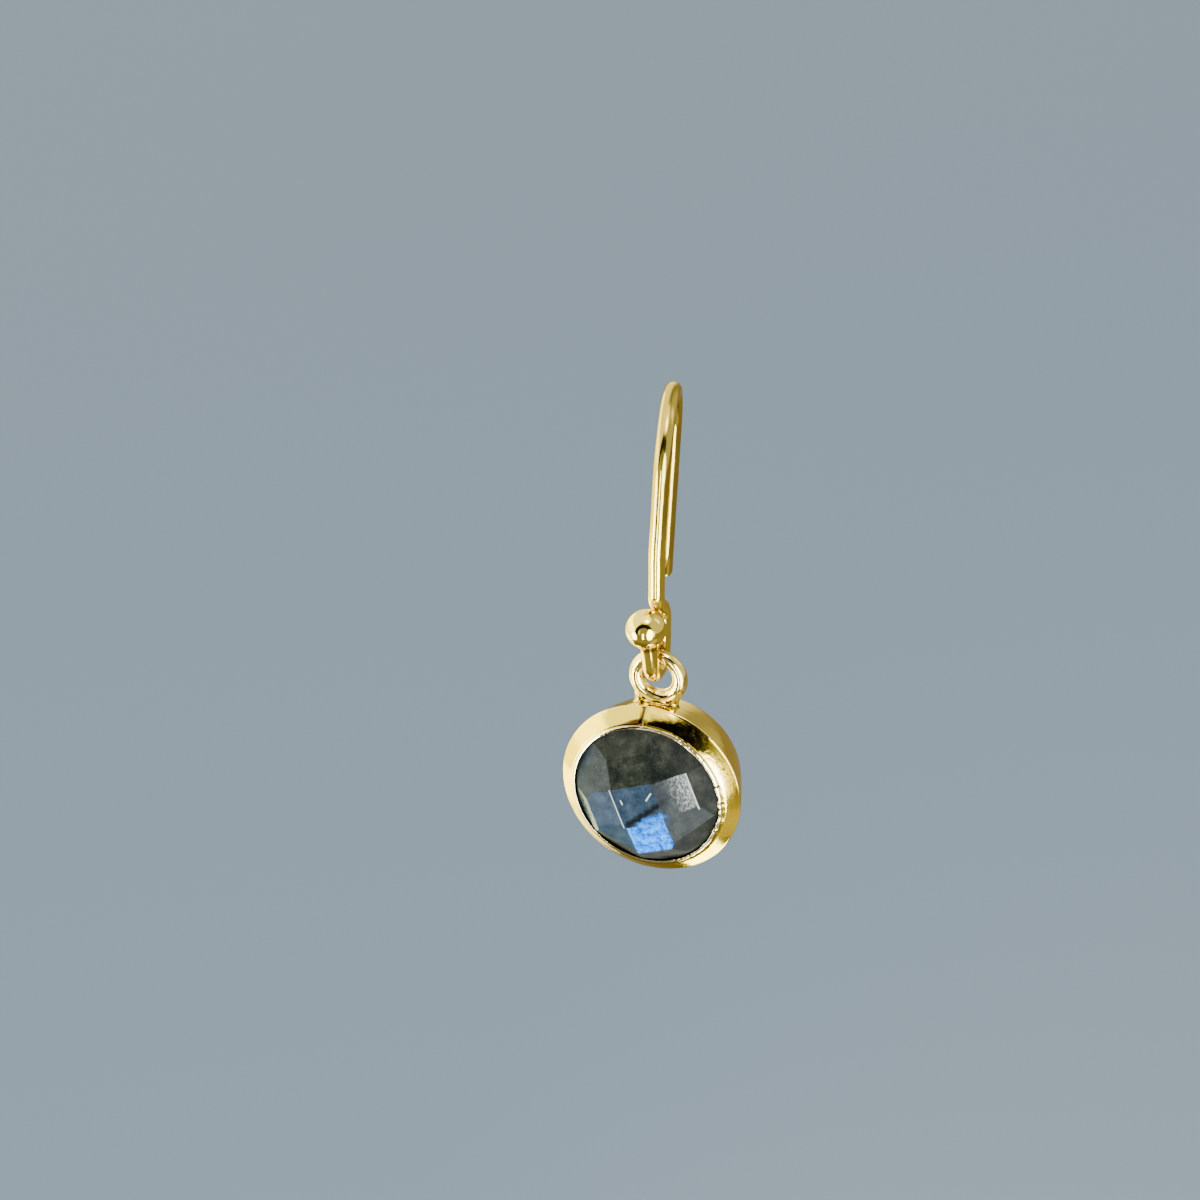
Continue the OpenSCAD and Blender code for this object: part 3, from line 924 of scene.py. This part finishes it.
# The body colour, with a painted slaty sheen in some facets, a painted blue flash in one and paleness in a
# few, which in the sliver is a painted reflection
body = ramp(tree, (-6, 1), cloud, *BODY_TONES)
slate = ramp(tree, (-6, 0), cloud, *SLATE_TONES)
flash = ramp(tree, (-6, -1), veins, *FLASH_TONES)
cloudy = calc(tree, (-6, -4), "ADD", cloud, 0.35)
slatiness = calc(tree, (-5, -4), "MULTIPLY", slaty, cloudy, clamp=True)
spread = calc(tree, (-5, -3), "MULTIPLY", line_mask(tree, (-6, -3), FLASH_SPREAD, at_ragged), 1.9, clamp=True)
spread = calc(tree, (-5, -2), "MULTIPLY", spread, slaty)
blueness = calc(tree, (-4, -3), "MAXIMUM", spread, blue)
# In the pale sliver this paleness is a painted reflection
paleness = calc(tree, (-3, 2), "MULTIPLY", pale, 0.8)
colour = mixed(tree, (-3, 1), slatiness, body, slate)
colour = mixed(tree, (-2, 1), blueness, colour, flash)
colour = mixed(tree, (-2, 2), paleness, colour, PALE_BLUE)

# A dark flaw across the table, white nicks, a painted white highlight along two edges, and white wear on the
# facet right of the table
flaw = calc(tree, (-2, -4), "MULTIPLY", line_mask(tree, (-6, -5), FLAW, at_ragged), 1.3, clamp=True)
colour = mixed(tree, (-1, 1), flaw, colour, FLAW_BLACK)
comma = line_mask(tree, (-6, -6), COMMA, at_spot)
nick = line_mask(tree, (-6, -7), NICK, at_spot)
nicks = calc(tree, (-4, -7), "MAXIMUM", comma, nick)
# Painted white highlights along two edges
left_edge = line_mask(tree, (-6, -10), LEFT_EDGE, at_spot)
right_edge = line_mask(tree, (-6, -11), RIGHT_EDGE, at_spot)
edges = calc(tree, (-5, -10), "MAXIMUM", left_edge, right_edge)
edges = calc(tree, (-4, -10), "MULTIPLY", edges, calc(tree, (-5, -11), "ADD", grain, 0.7), clamp=True)
rub = line_mask(tree, (-6, -8), RUBBED_PATCH, at_ragged)
scratches = calc(tree, (-6, -9), "MULTIPLY", grit, 5.6)
scratches = calc(tree, (-5, -8), "SUBTRACT", scratches, 2.6, clamp=True)
scratches = calc(tree, (-4, -8), "MULTIPLY", rub, scratches)
haze = calc(tree, (-4, -6), "MULTIPLY", rub, 0.1)
rubbed = calc(tree, (-3, -7), "ADD", scratches, haze)
# Of the facets that the rubbed patch reaches, its own alone is this slaty
for operation, limit in (("LESS_THAN", RIGHT_SLATY + 0.04), ("GREATER_THAN", RIGHT_SLATY - 0.1)):
    on_facet = calc(tree, (-4, -9), operation, slaty, limit)
    rubbed = calc(tree, (-3, -8), "MULTIPLY", rubbed, on_facet)
rubbed = calc(tree, (-2, -7), "MULTIPLY", rubbed, 0.9)
whiteness = calc(tree, (-3, -6), "MAXIMUM", nicks, edges)
whiteness = calc(tree, (-1, -6), "MAXIMUM", whiteness, rubbed, clamp=True)
colour = mixed(tree, (1, 1), whiteness, colour, WEAR_AND_HIGHLIGHT_WHITE)
gloss = remap(tree, (1, -1), grain, 0.3, 0.8, 0.12, 0.34)
feed(tree, shader.inputs["Base Color"], colour)
feed(tree, shader.inputs["Roughness"], calc(tree, (2, -1), "MAXIMUM", gloss, matte))
feed(tree, shader.inputs["Normal"], relief(tree, (2, -2), calc(tree, (1, -2), "MULTIPLY", grain, 0.006)))
stone.data.materials.append(labradorite)
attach(stone, "pendant")
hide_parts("stone")

# Floor. A plain pale sheet well below the earring, which hangs in the air as it does from an ear. The gold
# mirrors it darker and warmer than it looks, as a room away from the backdrop, and darker still close under
# the earring as a painted shadow.
FLOOR_DROP = 420
FLOOR_HALF = 3000
FLOOR_TONE = (0.145, 0.212, 0.30)
# What the gold mirrors, by the distance in metres from the earring: the near tone is a painted shadow
MIRRORED_NEAR = (0.5, (0.045, 0.042, 0.034))
MIRRORED_FAR = (0.62, (0.16, 0.148, 0.122))
floor_z = cad_box[0].z / MILLIMETRE - FLOOR_DROP
corners = [(x * FLOOR_HALF, y * FLOOR_HALF, floor_z) for x, y in ((-1, -1), (1, -1), (1, 1), (-1, 1))]
floor = new_piece("floor", corners, [(0, 1, 2, 3)])
pale_floor, tree, shader = new_material("pale_floor")
at_point = add(tree, "ShaderNodeNewGeometry", (-7, -1)).outputs["Position"]
how_far = vector_calc(tree, (-6, -1), "DISTANCE", at_point, (0, 0, 0))
mirrored = ramp(tree, (-5, -1), how_far, MIRRORED_NEAR, MIRRORED_FAR)
looked_at = add(tree, "ShaderNodeLightPath", (-4, 0)).outputs["Is Camera Ray"]
feed(tree, shader.inputs["Base Color"], mixed(tree, (-2, 0), looked_at, mirrored, FLOOR_TONE))
shader.inputs["Roughness"].default_value = 0.9
floor.data.materials.append(pale_floor)

# Light. A pale studio room, bright at the left and overhead, with a dark band that arches over the front.
# Soft panels stand at the left, overhead and in front, and low cards under the earring light its lower rim.
BLACK = (0, 0, 0)
WHITE = (1, 1, 1)
RIGHT_HALF = (0.42, 0.41, 0.36)
LEFT_HALF = (2.5, 2.4, 2.2)
RIGHT_WALL = (0.95, 0.92, 0.8)
CEILING = (3.2, 2.9, 2.2)
DARK_BAND = (0.004, 0.006, 0.004)
ROOM_TONE = (0.30, 0.41, 0.49)


def towards(azimuth, elevation):
    """A direction from the earring: 0 is to its front, 90 to its right, and up is positive."""
    a, e = math.radians(azimuth), math.radians(elevation)
    return np.array([math.sin(a) * math.cos(e), -math.cos(a) * math.cos(e), math.sin(e)])


world = bpy.data.worlds.new("studio")
world.use_nodes = True
room = world.node_tree
way_out = add(room, "ShaderNodeTexCoord", (-12, 0)).outputs["Generated"]


def spread_from(place, direction, *stops):
    """A tone for each way out of the earring, by how near it is to a direction: 1 along it and -1 behind."""
    facing = vector_calc(room, place, "DOT_PRODUCT", way_out, direction)
    return ramp(room, (place[0] + 1, place[1]), facing, *stops)


FAR_LEFT = towards(-95, 0)
OVERHEAD = towards(20, 84)
BAND_MIDDLE = towards(8, 4)
FAR_RIGHT = towards(105, 5)
tone = spread_from((-10, 2), FAR_LEFT, (0.12, RIGHT_HALF), (0.34, LEFT_HALF))
overhead = spread_from((-10, 0), OVERHEAD, (0.86, BLACK), (0.93, WHITE))
band = spread_from((-10, -2), BAND_MIDDLE, (0.60, BLACK), (0.64, WHITE), (0.85, WHITE), (0.88, BLACK))
right_wall = spread_from((-10, -4), FAR_RIGHT, (0.35, BLACK), (0.6, WHITE))
tone = mixed(room, (-8, 1), right_wall, tone, RIGHT_WALL)
tone = mixed(room, (-7, 1), overhead, tone, CEILING)
tone = mixed(room, (-6, 1), band, tone, DARK_BAND)
# Seen by itself the room is one plain pale tone, like the floor
looked_at = add(room, "ShaderNodeLightPath", (-6, -2)).outputs["Is Camera Ray"]
tone = mixed(room, (-4, 1), looked_at, tone, ROOM_TONE)
feed(room, room.nodes["Background"].inputs["Color"], tone)
bpy.context.scene.world = world
# Name, shape, azimuth, elevation, distance, width and height in metres, brightness seen in a mirror, colour
PANELS = [
    ("left_panel", "RECTANGLE", -92, -10, 0.3, 0.62, 0.42, 4.2, (1, 0.93, 0.25)),
    ("near_left_card", "ELLIPSE", -47, -20, 0.28, 0.14, 0.19, 14.0, (1, 1, 1)),
    ("ceiling_lamp", "ELLIPSE", 40, 72, 0.5, 0.16, 0.16, 12.0, (1, 0.99, 0.95)),
    ("front_right_window", "ELLIPSE", 42, -6, 0.45, 0.28, 0.55, 16.0, (1, 1, 1)),
    ("front_strip", "RECTANGLE", 3, -15, 0.4, 0.055, 0.23, 18.0, (1, 1, 1)),
    ("right_card", "RECTANGLE", 65, -4, 0.4, 0.08, 0.2, 2.6, (1, 0.9, 0.6)),
    ("right_far_panel", "RECTANGLE", 125, 34, 0.6, 0.16, 0.3, 1.8, (0.98, 0.99, 1)),
    ("low_right_card", "RECTANGLE", 76, -48, 0.27, 0.13, 0.13, 0.42, (1, 0.8, 0.4)),
    ("low_front_card", "RECTANGLE", 118, -76, 0.24, 0.16, 0.065, 12.0, (1, 1, 0.95)),
    ("low_left_card", "RECTANGLE", -113, -41, 0.26, 0.2, 0.13, 4.2, (1, 1, 0.6)),
]
for name, shape, azimuth, elevation, distance, width, tall, brightness, tint in PANELS:
    away = towards(azimuth, elevation)
    lamp = bpy.data.lights.new(name, "AREA")
    lamp.shape = shape
    lamp.size, lamp.size_y = width, tall
    lamp.energy = brightness * math.pi * width * tall * (math.pi / 4 if shape == "ELLIPSE" else 1)
    lamp.color = tint
    panel = new_object(name, lamp)
    panel.location = pendant * MILLIMETRE + away * distance
    panel.rotation_mode = "QUATERNION"
    panel.rotation_quaternion = Vector(-away).to_track_quat("-Z", "Y")

# Camera. It looks down from the front and a little to the right, as the photograph does, and is placed so
# that the middle of the ridge falls on the same pixel.
PHOTO_SIZE = 1200
LENS = 85
SENSOR = 36
CAMERA_AZIMUTH = 20.15
CAMERA_ELEVATION = 28.2
CAMERA_DEPTH = 179.6
PENDANT_PIXEL = (651, 788)
back = towards(CAMERA_AZIMUTH, CAMERA_ELEVATION)
right = towards(CAMERA_AZIMUTH + 90, 0)
up = np.cross(back, right)
per_pixel = SENSOR / PHOTO_SIZE / LENS * CAMERA_DEPTH
aside = (PENDANT_PIXEL[0] - PHOTO_SIZE / 2) * per_pixel
above = (PHOTO_SIZE / 2 - PENDANT_PIXEL[1]) * per_pixel
lens = bpy.data.cameras.new("camera")
lens.lens, lens.sensor_width = LENS, SENSOR
lens.clip_start, lens.clip_end = 0.01, 10
camera = new_object("camera", lens)
camera.location = (pendant + back * CAMERA_DEPTH - right * aside - up * above) * MILLIMETRE
camera.rotation_mode = "QUATERNION"
camera.rotation_quaternion = Vector(-back).to_track_quat("-Z", "Y")
bpy.context.scene.camera = camera
